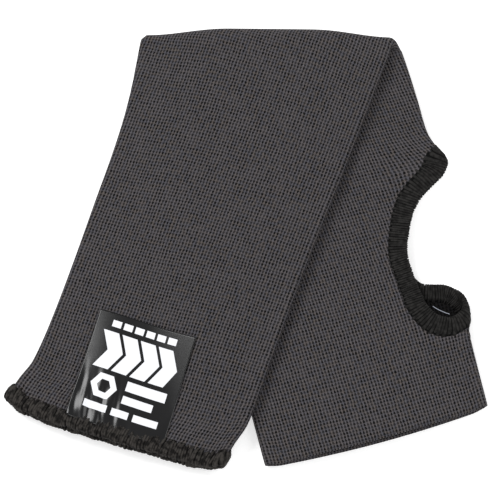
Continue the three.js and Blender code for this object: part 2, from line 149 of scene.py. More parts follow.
def along_half(t, column):
    on_arm = read(ARM_SHAPE, np.abs(t) / ARM_LENGTH, column)
    on_hand = read(HAND_SHAPE, np.abs(t) / HAND_LENGTH, column)
    return FLAT_WIDTH * np.where(t >= 0, on_arm, on_hand)


def half_width(t):
    return along_half(t, "width") / 2


def flat_half(t):
    """Half of the flat stretch between the turns at the two sides."""
    return half_width(t) - WALL / 2 - SIDE_RADIUS


def girth(t):
    return 4 * flat_half(t) + 4 * QUARTER_TURN


def crown(x):
    return CROWN * (1 - smooth((np.abs(x) - 0.35) / 0.65))


def section(p, t):
    """Place in the flat tube's cross-section: s across it, layer from 0 inside the fold to 1 outside it."""
    a = flat_half(t)
    q = np.mod(p, girth(t))
    stretches = [
        q < QUARTER_TURN,
        q < QUARTER_TURN + 2 * a,
        q < 3 * QUARTER_TURN + 2 * a,
        q < 3 * QUARTER_TURN + 4 * a,
    ]
    quarter = np.full_like(q, math.pi / 2)
    centre = np.select(stretches, [a, a - (q - QUARTER_TURN), -a, q - 3 * QUARTER_TURN - 3 * a], a)
    turns = [q / SIDE_RADIUS, quarter, (q - 2 * a) / SIDE_RADIUS, -quarter]
    angle = np.select(stretches, turns, (q - girth(t)) / SIDE_RADIUS)
    return centre + SIDE_RADIUS * np.cos(angle), (1 + np.sin(angle)) / 2


def arm_floor(c, d, bend, t):
    """Mid-wall height of the upper arm's lower layer, over the half that it lies on or over the floor."""
    n = d + BEND_REFERENCE + (bend - BEND_REFERENCE) * np.exp(-d / SETTLE_LENGTH)
    along = -(c * math.sin(FOLD_LEAN) + n * math.cos(FOLD_LEAN))
    across = c * math.cos(FOLD_LEAN) - n * math.sin(FOLD_LEAN) - along_half(along, "sway")
    beside = np.maximum(-across - half_width(along), 0)
    on = 1 - smooth(beside / DROP_LENGTH)
    crowned = crown(np.clip(across / flat_half(along), -1, 1))
    hem_lift = BINDING_PROUD * smooth((t - ARM_LENGTH + 4 * HEM_WIDTH) / (3 * HEM_WIDTH))
    return WALL / 2 + (ARM_GAP + WALL + 2 * SIDE_RADIUS) * on + crowned + hem_lift


def slot_rise(s, t, layer):
    """What the bound edge of the thumb slot adds to the height of the hand half."""
    in_from_side = half_width(t) - s
    reach = 3 * HEM_WIDTH
    near = smooth((SLOT_DEPTH + HEM_WIDTH + 2 + reach - in_from_side) / reach)
    start = smooth((SLOT_TIP + HEM_WIDTH + 4 + reach - t) / reach)
    end = smooth((t - SLOT_END + HEM_WIDTH + 4 + reach) / reach)
    across = bump((in_from_side - SLOT_DEPTH / 2) / RING_REACH)
    top_edge = bump((t - RING_MIDDLE) / RING_REACH) * across
    below_edge = bump((t - RING_MIDDLE - 0.18 * SLOT_LENGTH) / (0.6 * RING_REACH)) * across
    ring = RING_RISE * top_edge * (1 - layer) + RING_LIFT * below_edge * layer
    return BINDING_PROUD * near * start * end + ring


def lay(p, t):
    """Where the cloth lies: p runs round the tube from its right-hand side, t along it from the fold."""
    side, layer = section(p, t)
    a = flat_half(t)
    crown_here = crown(side / a)
    tip_flare = TIP_FLARE * bump((t - SLOT_TIP) / FLARE_LENGTH)
    ring_flare = RING_FLARE * bump((t - RING_MIDDLE) / FLARE_LENGTH)
    s = side + along_half(t, "sway") + (tip_flare + ring_flare) * smooth(2 * side / a - 1)
    on_arm = t >= 0
    length = np.where(on_arm, ARM_LENGTH, HAND_LENGTH)
    x = side / half_width(t)
    corner = np.where(on_arm, ARM_CORNER, HAND_CORNER) * smooth((np.abs(x) - 0.86) / 0.14)
    bow = END_BOW * (1 - x * x) - corner + np.where(on_arm, ARM_SKEW * x, 0)
    down = t + np.sign(t) * bow * smooth(1 - (length - np.abs(t)) / BOW_REACH)
    n = down * math.cos(FOLD_LEAN) + s * math.sin(FOLD_LEAN)
    c = s * math.cos(FOLD_LEAN) - down * math.sin(FOLD_LEAN)
    fold_crown = crown(np.clip(c * math.cos(FOLD_LEAN) / flat_half(np.zeros(1)), -1, 1))
    bend = math.pi / 4 * (STACK + 2 * fold_crown)
    over = np.maximum(np.abs(n) - bend, 0)
    d = over + (bend - BEND_REFERENCE) * (1 - np.exp(-over / SETTLE_LENGTH))
    arm = arm_floor(c, d, bend, t) + 2 * SIDE_RADIUS * layer + np.where(layer > 0.5, crown_here, 0)
    hand = WALL / 2 + 2 * SIDE_RADIUS * (1 - layer) + np.where(layer < 0.5, crown_here, 0)
    hand = hand + slot_rise(side, t, layer)
    angle = math.pi / 2 * (1 - np.clip(n / bend, -1, 1))
    radius = (arm - hand) / 2
    flat = over > 0
    y = np.where(flat, -d, radius * np.sin(angle))
    z = np.where(flat, np.where(n > 0, arm, hand), (arm + hand) / 2 + radius * np.cos(angle))
    return np.stack([c, y, z], -1)


def lay_off(p, t, height):
    """A place at some height off the mid-wall, outwards from the tube."""
    small = 0.02
    around = lay(p + small, t) - lay(p - small, t)
    along = lay(p, t + small) - lay(p, t - small)
    normal = np.cross(around, along)
    normal /= np.linalg.norm(normal, axis=-1, keepdims=True)
    return lay(p, t) + normal * np.asarray(height)[..., None]


def coordinates(mesh):
    flat = np.zeros(3 * len(mesh.vertices))
    mesh.vertices.foreach_get("co", flat)
    return flat.reshape(-1, 3)


def move_to(mesh, points):
    """Moves a mesh's points to places in the frame, whose origin is below the middle of the box."""
    mesh.vertices.foreach_set("co", ((points + ORIGIN) * MM).ravel())
    mesh.update()


def weld():
    """Joins points that lie together on the piece in hand, and turns its faces outwards."""
    bpy.ops.object.mode_set(mode="EDIT")
    bpy.ops.mesh.select_all(action="SELECT")
    bpy.ops.mesh.remove_doubles(threshold=0.01 * MM)
    bpy.ops.mesh.normals_make_consistent(inside=False)
    bpy.ops.object.mode_set(mode="OBJECT")


def thicken(sheet, thickness, inner_material=0):
    """Gives a sheet its thickness in mm, half to each side."""
    bpy.ops.object.modifier_add(type="SOLIDIFY")
    wall = sheet.modifiers[-1]
    wall.thickness = thickness * MM
    wall.offset = 0
    wall.material_offset = inner_material
    bpy.ops.object.modifier_apply(modifier=wall.name)
    bpy.ops.object.shade_smooth()


def slot_outline():
    """The slot's cut edge as a closed centripetal curve in p and t, with its directions."""
    top = [(-SLOT_DEPTH * row["top"], SLOT_TIP - SLOT_LENGTH * row["along"]) for row in SLOT_EDGE]
    below = [(SLOT_DEPTH * row["below"], SLOT_TIP - SLOT_LENGTH * row["along"]) for row in SLOT_EDGE]
    knots = np.array(top + below[-2:0:-1])
    before, after, beyond = (np.roll(knots, shift, 0) for shift in (1, -1, -2))
    step = np.sqrt(np.linalg.norm([knots - before, after - knots, beyond - after], axis=2))[..., None]
    leave = (knots - before) / step[0] - (after - before) / (step[0] + step[1]) + (after - knots) / step[1]
    arrive = (after - knots) / step[1] - (beyond - knots) / (step[1] + step[2]) + (beyond - after) / step[2]
    leave *= step[1]
    arrive *= step[1]
    f = np.arange(0, 1, 0.05)[:, None, None]
    curve = (
        knots * (2 * f**3 - 3 * f**2 + 1)
        + leave * (f**3 - 2 * f**2 + f)
        + after * (3 * f**2 - 2 * f**3)
        + arrive * (f**3 - f**2)
    )
    return curve.transpose(1, 0, 2).reshape(-1, 2)


SLOT_CURVE = slot_outline()


def slot_cut(t):
    """How far a row of the knit is cut back on the top layer and on the layer below."""
    here, after = SLOT_CURVE, np.roll(SLOT_CURVE, -1, 0)
    crosses = ((here[:, 1] - t) * (after[:, 1] - t) <= 0) & (here[:, 1] != after[:, 1])
    here, after = here[crosses], after[crosses]
    p = here[:, 0] + (after[:, 0] - here[:, 0]) * (t - here[:, 1]) / (after[:, 1] - here[:, 1])
    return -p.min(), p.max()


def steps(start, end, size):
    count = max(round(abs(end - start) / size), 1)
    return np.linspace(start, end, count, endpoint=False)


ROW_STEP = 2.4
FINE_STEP = 1.2
TURN_STEP = 1.0
BLEND = 0.62 * FLAT_WIDTH  # stretch in which the columns make room for the slot
bend_half = BEND_REFERENCE + 2
row_places = np.concatenate([
    steps(ARM_LENGTH, bend_half, ROW_STEP),
    steps(bend_half, -bend_half, FINE_STEP),
    steps(-bend_half, SLOT_TIP, ROW_STEP),
    SLOT_TIP - SLOT_LENGTH * 0.02 * np.linspace(0, 1, 8, endpoint=False) ** 2,
    steps(SLOT_TIP - 0.02 * SLOT_LENGTH, SLOT_TIP - 0.78 * SLOT_LENGTH, FINE_STEP),
    steps(SLOT_TIP - 0.78 * SLOT_LENGTH, SLOT_TIP - 0.98 * SLOT_LENGTH, 0.5 * FINE_STEP),
    SLOT_END + SLOT_LENGTH * 0.02 * np.linspace(1, 0, 8, endpoint=False) ** 2,
    steps(SLOT_END, -HAND_LENGTH, ROW_STEP),
    [-HAND_LENGTH],
])
turn_steps = np.arange(0, QUARTER_TURN, TURN_STEP) / QUARTER_TURN
flat_steps = np.arange(0, FLAT_WIDTH, ROW_STEP) / FLAT_WIDTH


def column_places(t):
    """Places of a row's points round the tube, squeezed together where the slot cuts the row back."""
    flat = 2 * float(flat_half(np.array([t]))[0])
    half = [QUARTER_TURN * turn_steps, QUARTER_TURN + flat * flat_steps]
    half.append(flat + QUARTER_TURN * (2 - turn_steps[::-1]))
    half = np.concatenate(half)
    around = 2 * flat + 4 * QUARTER_TURN
    p = np.concatenate([half, around / 2 + half[1:]])
    p = np.concatenate([p[p < around - 0.01], [around]])
    if t > SLOT_TIP:
        top, below = 0.0, 0.0
    elif t > SLOT_END:
        top, below = slot_cut(t)
    else:
        top = SLOT_DEPTH * SLOT_EDGE[-1]["top"] * (1 - smooth((SLOT_END - t) / SLOT_DEPTH))
        below = -top
    from_below = below + p * (BLEND - below) / BLEND
    from_top = around - top - (around - p) * (BLEND - top) / BLEND
    return np.where(p < BLEND, from_below, np.where(around - p < BLEND, from_top, p))


places = np.array([column_places(t) for t in row_places])
rows_of = np.repeat(row_places[:, None], places.shape[1], 1)
lean_here = 1 - smooth((np.abs(rows_of) - 15) / 60)
across_here = section(places, rows_of)[0] + along_half(rows_of, "sway")
rows_of = rows_of - across_here * math.tan(FOLD_LEAN) * lean_here
outside = lay_off(places, rows_of, np.full_like(places, WALL / 2)).reshape(-1, 3)
low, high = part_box("sleeve_body")
ORIGIN = (np.array(low + high) / MM - outside.min(0) - outside.max(0)) / 2

bpy.ops.object.select_all(action="DESELECT")
rows, columns = places.shape
bpy.ops.mesh.primitive_grid_add(x_subdivisions=columns - 1, y_subdivisions=rows - 1, size=2)
body = bpy.context.object
body.name = "knit_tube"
start = coordinates(body.data)
column = np.rint((start[:, 0] + 1) / 2 * (columns - 1)).astype(int)
row = np.rint((start[:, 1] + 1) / 2 * (rows - 1)).astype(int)
p_of, t_of = places[row, column], rows_of[row, column]
move_to(body.data, lay(p_of, t_of))
knit_map = body.data.uv_layers.active
knit_map.name = "knit"
corner_vertex = np.zeros(len(body.data.loops), int)
body.data.loops.foreach_get("vertex_index", corner_vertex)
knit_map.data.foreach_set("uv", np.stack([p_of, t_of], -1)[corner_vertex].ravel() * MM)
weld()
body.data.materials.append(None)
body.data.materials.append(None)
thicken(body, WALL, inner_material=1)
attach(body, "root")
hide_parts("sleeve_body")

# Shades of the knit: each stitch is a light rib beside a gap and a groove darkened as painted shade, so the
# cloth is a grid of small dark dots, with brownish and bluish stitches mixed as in heathered yarn.
WALE = 1.62 * MM  # one stitch across
COURSE = 1.76 * MM  # one stitch along
WANDER = 0.95 * MM  # how far the stitches stray from their rows
KNIT_LIGHT = (0.09, 0.083, 0.088, 1)
KNIT_GAP_SHADE = (0.0025, 0.0025, 0.0025, 1)
KNIT_BROWN = (0.089, 0.077, 0.072, 1)
KNIT_BLUE = (0.07, 0.069, 0.08, 1)
KNIT_FLECK = (0.17, 0.16, 0.165, 1)


class Shader:
    """A material's node tree, built a node at a time."""

    def __init__(self, name, roughness):
        self.material = bpy.data.materials.new(name)
        self.material.use_nodes = True
        self.tree = self.material.node_tree
        self.surface = self.tree.nodes["Principled BSDF"]
        self.surface.inputs["Roughness"].default_value = roughness

    def node(self, kind, values=(), **settings):
        made = self.tree.nodes.new(kind)
        for name, value in settings.items():
            setattr(made, name, value)
        for socket, value in enumerate(values):
            if isinstance(value, bpy.types.NodeSocket):
                self.tree.links.new(value, made.inputs[socket])
            elif value is not None:
                made.inputs[socket].default_value = value
        return made

    def math(self, operation, *values):
        return self.node("ShaderNodeMath", values, operation=operation).outputs[0]

    def ramp(self, value, low, high, bottom=0.0, top=1.0):
        """Runs smoothly from bottom to top as the value goes from low to high."""
        values = [value, low, high, bottom, top]
        return self.node("ShaderNodeMapRange", values, interpolation_type="SMOOTHSTEP").outputs[0]

    def mix(self, share, first, second):
        made = self.node("ShaderNodeMix", data_type="RGBA")
        for socket, value in zip((0, 6, 7), (share, first, second)):
            if isinstance(value, bpy.types.NodeSocket):
                self.tree.links.new(value, made.inputs[socket])
            else:
                made.inputs[socket].default_value = value
        return made.outputs[2]

    def noise(self, place, scale, detail=2.0):
        made = self.node("ShaderNodeTexNoise", [place, None, scale, detail])
        return made.outputs["Fac"]

    def set(self, socket, value):
        self.tree.links.new(value, self.surface.inputs[socket])

    def relief(self, height, distance, strength=1.0):
        made = self.node("ShaderNodeBump")
        made.inputs["Strength"].default_value = strength
        made.inputs["Distance"].default_value = distance
        self.tree.links.new(height, made.inputs["Height"])
        self.set("Normal", made.outputs[0])


def knit_material(name, shade):
    """The knit's right side with a shade of 1, or with less for the wrong side, darkened as painted shade
    inside the tube.
    """
    light, dark, brown, blue, fleck_tone = (
        tuple(shade * c for c in tone[:3]) + (1,)
        for tone in (KNIT_LIGHT, KNIT_GAP_SHADE, KNIT_BROWN, KNIT_BLUE, KNIT_FLECK)
    )
    knit = Shader(name, 0.95)
    place = knit.node("ShaderNodeUVMap", uv_map="knit").outputs[0]
    waver = knit.node("ShaderNodeTexNoise", [place, None, 330.0, 2.0]).outputs["Color"]
    shift = knit.node("ShaderNodeVectorMath", [waver, (0.5, 0.5, 0.5)], operation="SUBTRACT").outputs[0]
    shift = knit.node("ShaderNodeVectorMath", [shift, (WANDER, WANDER, 0)], operation="MULTIPLY").outputs[0]
    moved = knit.node("ShaderNodeVectorMath", [place, shift], operation="ADD").outputs[0]
    axes = knit.node("ShaderNodeSeparateXYZ", [moved]).outputs
    stitch = knit.math("DIVIDE", axes[0], WALE)
    course = knit.math("DIVIDE", axes[1], COURSE)
    across = knit.math("SUBTRACT", knit.math("FRACT", stitch), 0.5)
    along = knit.math("SUBTRACT", knit.math("FRACT", course), 0.5)
    taper = knit.math("ADD", knit.math("MULTIPLY", along, 1.1), 1.0)
    wide = knit.math("MULTIPLY", across, taper)
    wide = knit.math("MULTIPLY", wide, wide)
    tall = knit.math("MULTIPLY", knit.math("MULTIPLY", along, along), 0.45)
    from_gap = knit.math("SQRT", knit.math("ADD", wide, tall))
    gap = knit.ramp(from_gap, 0.38, 0.2)
    groove = knit.ramp(knit.math("ABSOLUTE", across), 0.4, 0.1, 0.0, 0.3)
    cell = knit.node("ShaderNodeCombineXYZ", [knit.math("FLOOR", stitch), knit.math("FLOOR", course), 0.0])
    each = knit.node("ShaderNodeTexWhiteNoise", [cell.outputs[0]], noise_dimensions="2D").outputs[0]
    # The gaps and grooves between the ribs are darkened as painted shade; the same mask sinks them in the
    # bump.
    depth = knit.math("MULTIPLY", knit.math("MAXIMUM", gap, groove), knit.ramp(each, 0.0, 1.0, 0.75, 1.0))
    warm = knit.ramp(knit.noise(place, 420.0, 3.0), 0.4, 0.62)
    blotch = knit.ramp(knit.noise(place, 90.0, 3.0), 0.35, 0.65, 0.0, 0.6)
    yarn = knit.mix(warm, blue, brown)
    yarn = knit.mix(blotch, yarn, light)
    fleck = knit.ramp(knit.noise(place, 1300.0, 2.0), 0.6, 0.75, 0.0, 0.6)
    yarn = knit.mix(fleck, yarn, fleck_tone)
    knit.set("Base Color", knit.mix(depth, yarn, dark))
    knit.relief(knit.math("SUBTRACT", 1.0, depth), 0.4 * MM, 0.9)
    knit.surface.inputs["Specular IOR Level"].default_value = 0.12
    return knit.material


# The wrong side is darkened as painted shade for the shadow deep in the tube, seen through the thumb slot;
# near the hand end it keeps the right side's tone.
INSIDE_PAINTED_SHADE = 0.12  # shade of the wrong side deep in the tube, as seen through the thumb slot
MOUTH_DEPTH = 22  # how far in from the hand end the wrong side is as light as the right side
inside_shade_index = np.zeros(len(body.data.polygons), int)
body.data.polygons.foreach_get("material_index", inside_shade_index)
first_corner = np.zeros(len(body.data.polygons), int)
body.data.polygons.foreach_get("loop_start", first_corner)
knit_place = np.zeros(2 * len(body.data.loops))
body.data.uv_layers["knit"].data.foreach_get("uv", knit_place)
along_tube = knit_place.reshape(-1, 2)[first_corner, 1] / MM
inside_shade_index[along_tube < MOUTH_DEPTH - HAND_LENGTH] = 0
body.data.polygons.foreach_set("material_index", inside_shade_index)
body.data.materials[0] = knit_material("knit", 1)
body.data.materials[1] = knit_material("knit_inside_painted_shade", INSIDE_PAINTED_SHADE)


# The arm hem is a chain of bulky black yarn overlocked round the cut end of the upper arm.
# One turn of yarn is a ring round the edge of a straight strip. It is repeated, each turn is pulled a
# little differently, a core of packed yarn is added in the darkest tone all over as painted shade between the
# turns, and the strip is laid on the edge.
ARM_PITCH = 1.3
ARM_YARN_RADIUS = 0.85
ARM_REACH_IN = 6.6
ARM_HEIGHT = 5.0
ARM_WILD = 1.0  # how unevenly the turns are pulled
ARM_SAG = 1.3
SAG_PLACE = -35  # across the sleeve, from its middle
SAG_REACH = 22
ARM_FINGER = 0.9  # how much further in every second turn reaches
ARM_YARN_DARK = (0.002, 0.002, 0.002, 1)
ARM_YARN_LIGHT = (0.043, 0.039, 0.0355, 1)


def round_edge(angle, reach_in, height, inset):
    """A flattened loop round a bound edge: in from the edge and off the cloth, at an angle round it."""
    half_reach = (reach_in + HEM_OVERHANG) / 2 - inset
    y = half_reach * np.sign(np.cos(angle)) * np.abs(np.cos(angle)) ** 0.6
    z = (height / 2 - inset) * np.sign(np.sin(angle)) * np.abs(np.sin(angle)) ** 0.5
    return y + (reach_in - HEM_OVERHANG) / 2, z


def yarn_turns(name, length, pitch, radius, reach_in, height, finger, wild, seed):
    """Turns of yarn round a straight edge: X along the edge, Y in from it and Z off the cloth, in mm."""
    bpy.ops.object.select_all(action="DESELECT")
    bpy.ops.mesh.primitive_torus_add(
        major_segments=20, minor_segments=8, major_radius=1, minor_radius=0.25, rotation=(0, math.pi / 2, 0)
    )
    turns = bpy.context.object
    turns.name = name
    bpy.ops.object.transform_apply(location=False, rotation=True, scale=False)
    ring = coordinates(turns.data)
    angle = np.arctan2(ring[:, 2], ring[:, 1])
    off_path = (np.hypot(ring[:, 1], ring[:, 2]) - 1) / 0.25 * radius
    path_y, path_z = round_edge(angle, reach_in, height, radius)
    shaped = np.stack([
        ring[:, 0] / 0.25 * radius + 0.35 * pitch * np.sin(angle),
        path_y + off_path * np.cos(angle),
        path_z + off_path * np.sin(angle),
    ], -1)
    turns.data.vertices.foreach_set("co", shaped.ravel())
    turns.data.update()
    count = 2 * round(length / pitch / 2)
    bpy.ops.object.modifier_add(type="ARRAY")
    array = turns.modifiers[-1]
    array.count = count
    array.use_relative_offset = False
    array.use_constant_offset = True
    array.constant_offset_displace = (length / count, 0, 0)
    bpy.ops.object.modifier_apply(modifier=array.name)
    strip = coordinates(turns.data)
    turn_of = np.arange(len(strip)) // len(ring)
    own = np.random.default_rng(seed).uniform(-wild, wild, (5, count))
    pull = (own + np.roll(own, 1, 1) + np.roll(own, 2, 1))[:, turn_of] / 1.7
    lean, longer, bulge, fuller, slip = pull
    share_in = (strip[:, 1] + HEM_OVERHANG) / (reach_in + HEM_OVERHANG)
    further = np.where(turn_of % 2 == 0, finger, 0) * share_in**3
    strip[:, 0] += 0.5 * slip + 1.8 * lean * (share_in - 0.5)
    strip[:, 1] += further + 0.6 * longer * share_in - 0.4 * bulge * (1 - share_in)
    strip[:, 2] *= 1 + 0.22 * fuller
    return turns, strip


def yarn_core(length, reach_in, height, inset):
    """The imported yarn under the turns, as a closed strip in the same three directions."""
    bpy.ops.object.select_all(action="DESELECT")
    bpy.ops.mesh.primitive_grid_add(x_subdivisions=round(length / 1.5), y_subdivisions=16, size=2)
    core = bpy.context.object
    flat = coordinates(core.data)
    y, z = round_edge(math.pi * flat[:, 1], reach_in, height, inset)
    return core, np.stack([(flat[:, 0] + 1) / 2 * length, y, z], -1)


def bind_edge(lay_strip, turns, turns_strip, core, core_strip):
    """Lays the turns and their core on a bound edge, flattened where they meet the floor, as one piece."""
    for piece, strip in ((turns, turns_strip), (core, core_strip)):
        points = lay_strip(strip)
        points[:, 2] = np.maximum(points[:, 2], 0.1)
        move_to(piece.data, points)
    weld()
    turns.select_set(True)
    bpy.context.view_layer.objects.active = turns
    bpy.ops.object.join()
    bpy.ops.object.shade_smooth()


def yarn_material(name, dark, light, patchy):
    """Soft matt yarn: each turn is painted lighter along its crest as a painted highlight, with painted shade
    down its sides, and the tone changes in small patches.
    """
    yarn = Shader(name, 0.9)
    place = yarn.node("ShaderNodeTexCoord").outputs["Object"]
    turn_map = yarn.node("ShaderNodeUVMap", uv_map="UVMap").outputs[0]
    round_yarn = yarn.node("ShaderNodeSeparateXYZ", [turn_map]).outputs[1]
    # The lighter crest and darker sides of each turn are painted highlight and painted shade.
    off_crest = yarn.math("ABSOLUTE", yarn.math("SUBTRACT", round_yarn, 0.5))
    crest = yarn.ramp(off_crest, 0.26, 0.04)
    patch = yarn.ramp(yarn.noise(place, 450.0, 4.0), 0.38, 0.62, 1 - patchy, 1.0)
    yarn.set("Base Color", yarn.mix(yarn.math("MULTIPLY", crest, patch), dark, light))
    yarn.relief(yarn.noise(place, 1800.0, 3.0), 0.3 * MM, 0.7)
    yarn.surface.inputs["Specular IOR Level"].default_value = 0.12
    return yarn.material


def on_arm_edge(strip):
    """The strip on the arm's cut end, which sags a little left of its middle."""
    side = section(strip[:, 0], np.full(len(strip), ARM_LENGTH))[0]
    sag = ARM_SAG * bump((side - SAG_PLACE) / SAG_REACH)
    return lay_off(strip[:, 0], ARM_LENGTH + sag - strip[:, 1], strip[:, 2])


around_arm = float(girth(np.array([ARM_LENGTH]))[0])
arm_hem, arm_strip = yarn_turns(
    "arm_overlock",
    around_arm,
    ARM_PITCH,
    ARM_YARN_RADIUS,
    ARM_REACH_IN,
    ARM_HEIGHT,
    ARM_FINGER,
    ARM_WILD,
    seed=4,
)
arm_core, core_strip = yarn_core(around_arm, ARM_REACH_IN - 0.5, ARM_HEIGHT, 0.9)
arm_hem.data.materials.append(yarn_material("arm_yarn", ARM_YARN_DARK, ARM_YARN_LIGHT, 0.85))
# The core is packed yarn in the darkest tone all over, which also stands as painted shade in the gaps between
# the turns.
arm_core.data.materials.append(yarn_material("core_yarn_painted_shade", ARM_YARN_DARK, ARM_YARN_DARK, 0))
bind_edge(on_arm_edge, arm_hem, arm_strip, arm_core, core_strip)
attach(arm_hem, "root")
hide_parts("arm_hem")

# The thumb hem is the same overlocking, finer and denser, round the cut edge of the thumb slot.
# Its strip is bent round the closed edge, which crosses the side of the tube at the tip and at the far end.
# It reaches further in at the tip, and stands out further along the middle.
THUMB_PITCH = 1.2
THUMB_YARN_RADIUS = 0.68
THUMB_REACH_IN = 7.2
THUMB_FINGER = 1.1
THUMB_WILD = 0.3
# The core's painted shade shows past the turns as the dark seam.
SEAM_REACH = 1.4  # how far the dark seam shows past the turns
TIP_WIDER = 0.3
TIP_REACH = 16
MIDDLE_FULLER = 0.9
MIDDLE_PLACE = -122  # along the hand half, from the fold
MIDDLE_REACH = 22
SLOT_YARN_DARK = (0.002, 0.002, 0.002, 1)
SLOT_YARN_LIGHT = (0.024, 0.023, 0.022, 1)
edge = np.concatenate([SLOT_CURVE, SLOT_CURVE[:1]])
travelled = np.concatenate([[0], np.cumsum(np.linalg.norm(np.diff(edge, axis=0), axis=1))])


def along_slot(at):
    """The slot's cut edge in p and t, at a distance along it."""
    at = np.mod(at, travelled[-1])
    return np.stack([np.interp(at, travelled, edge[:, 0]), np.interp(at, travelled, edge[:, 1])], -1)


def on_slot_edge(strip):
    """The strip on the slot's cut edge."""
    here = along_slot(strip[:, 0])
    tangent = along_slot(strip[:, 0] + 0.3) - along_slot(strip[:, 0] - 0.3)
    tangent /= np.linalg.norm(tangent, axis=1, keepdims=True)
    wider = 1 + TIP_WIDER * bump((here[:, 1] - SLOT_TIP) / TIP_REACH)
    fuller = 1 + MIDDLE_FULLER * bump((here[:, 1] - MIDDLE_PLACE) / MIDDLE_REACH)
    reach = strip[:, 1] * np.where(strip[:, 1] > 0, wider, fuller)
    return lay_off(here[:, 0] + reach * tangent[:, 1], here[:, 1] - reach * tangent[:, 0], strip[:, 2])


thumb_hem, thumb_strip = yarn_turns(
    "thumb_overlock",
    travelled[-1],
    THUMB_PITCH,
    THUMB_YARN_RADIUS,
    THUMB_REACH_IN,
    BINDING,
    THUMB_FINGER,
    THUMB_WILD,
    seed=7,
)
thumb_core, core_strip = yarn_core(travelled[-1], THUMB_REACH_IN + SEAM_REACH, BINDING, 0.7)
thumb_hem.data.materials.append(yarn_material("slot_yarn", SLOT_YARN_DARK, SLOT_YARN_LIGHT, 0.6))
# The thumb core shares the arm core's painted-shade material.
thumb_core.data.materials.append(bpy.data.materials["core_yarn_painted_shade"])
bind_edge(on_slot_edge, thumb_hem, thumb_strip, thumb_core, core_strip)
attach(thumb_hem, "root")
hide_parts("thumb_hem")

# The loose thread is a pale end of sewing thread that lies inside the far end of the slot, beside the hem.
# It is a thin closed tube bent along the same edge as the hem.
THREAD_RADIUS = 0.16
THREAD_START = 293  # the points of the slot's curve that the thread runs between
THREAD_STOP = 355
THREAD_OUT = 1.2  # past the hem's outer side
THREAD_BOW = 0.6
THREAD_HEIGHT = 1.1  # off the cloth
bpy.ops.object.select_all(action="DESELECT")
bpy.ops.mesh.primitive_grid_add(x_subdivisions=24, y_subdivisions=8, size=2)
thread = bpy.context.object
thread.name = "loose_thread"
flat = coordinates(thread.data)
run = (flat[:, 0] + 1) / 2
thread_from, thread_to = travelled[THREAD_START], travelled[THREAD_STOP]
bowed = -HEM_OVERHANG - THREAD_OUT - THREAD_BOW * np.sin(math.pi * run)
thread_strip = np.stack([
    thread_from + (thread_to - thread_from) * run,
    bowed + THREAD_RADIUS * np.cos(math.pi * flat[:, 1]),
    THREAD_HEIGHT + THREAD_RADIUS * np.sin(math.pi * flat[:, 1]),
], -1)
move_to(thread.data, on_slot_edge(thread_strip))
bpy.ops.object.mode_set(mode="EDIT")
bpy.ops.mesh.select_all(action="SELECT")
bpy.ops.mesh.remove_doubles(threshold=0.01 * MM)
bpy.ops.mesh.fill_holes(sides=0)
bpy.ops.mesh.normals_make_consistent(inside=False)
bpy.ops.object.mode_set(mode="OBJECT")
bpy.ops.object.shade_smooth()
pale = Shader("pale_thread", 0.6)
pale.surface.inputs["Base Color"].default_value = (0.3, 0.32, 0.37, 1)
thread.data.materials.append(pale.material)
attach(thread, "root")

# The label is a thin glossy black film tag, caught under the hem at its lower edge.
ARM_HEM_WIDTH = 5
LABEL_WIDTH = 51.5
LABEL_HEIGHT = 54
LABEL_THICKNESS = 0.5
LABEL_SKEW = 2  # how much shorter its right-hand side is than its left
LABEL_OFFSET = -10
LABEL_CLEARANCE = 0.45
LABEL_TUCK = 2.2  # film hidden under the hem
WRINKLE_HEIGHT = 0.55
SWELL_HEIGHT = 0.15


def film_wave(across, up):
    """How far the film stands off the knit: a swell, and wrinkles at the lower left where the hem pulls."""
    pulled = smooth((32 - up) / 28) * smooth((12 - across) / 24)
    wrinkle = 0.5 + 0.5 * np.sin(0.95 * across + 0.6 * np.sin(0.21 * up) + 0.12 * up)
    wrinkle = wrinkle + 0.35 + 0.35 * np.sin(0.57 * across - 0.21 * up + 1.3)
    wrinkle = wrinkle + 0.15 + 0.15 * np.sin(1.7 * across + 0.33 * up)
    swell = 1 + np.sin(0.17 * across + 0.12 * up)
    return WRINKLE_HEIGHT * wrinkle * pulled + SWELL_HEIGHT * swell


def on_label(across, up, height):
    """A place on the tag, in mm: across and up from the middle of its lower edge, and off the film's back."""
    skewed = up * (1 - LABEL_SKEW * across / LABEL_WIDTH / LABEL_HEIGHT)
    t = ARM_LENGTH - ARM_HEM_WIDTH - LABEL_CLEARANCE - skewed
    s = LABEL_OFFSET - along_half(t, "sway") + across
    off = WALL / 2 + LABEL_CLEARANCE + film_wave(across, up) + height
    return lay_off(QUARTER_TURN + flat_half(t) - s, t, off)


bpy.ops.object.select_all(action="DESELECT")
bpy.ops.mesh.primitive_grid_add(x_subdivisions=98, y_subdivisions=70, size=1)
tag = bpy.context.object
tag.name = "film_tag"
flat = coordinates(tag.data)
up = (flat[:, 1] + 0.5) * (LABEL_HEIGHT + LABEL_TUCK) - LABEL_TUCK
move_to(tag.data, on_label(flat[:, 0] * LABEL_WIDTH, up, np.full(len(flat), LABEL_THICKNESS / 2)))
thicken(tag, LABEL_THICKNESS)
film = Shader("film", 0.24)
film.surface.inputs["Base Color"].default_value = (0.003, 0.003, 0.0035, 1)
film.surface.inputs["Specular IOR Level"].default_value = 0.45
tag.data.materials.append(film.material)
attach(tag, "root")
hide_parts("label")

# The label's print is a plain pattern of white ink: a row of dashes, four chevrons, bars and a hexagon.
# Each mark is a flat patch between four corners, laid on the film and given a thin coat's thickness.
INK_THICKNESS = 0.1
HEXAGON_MIDDLE = np.array([-12.0, 17.2])
HEXAGON_RADIUS = 7
HEXAGON_HOLE = 3.6


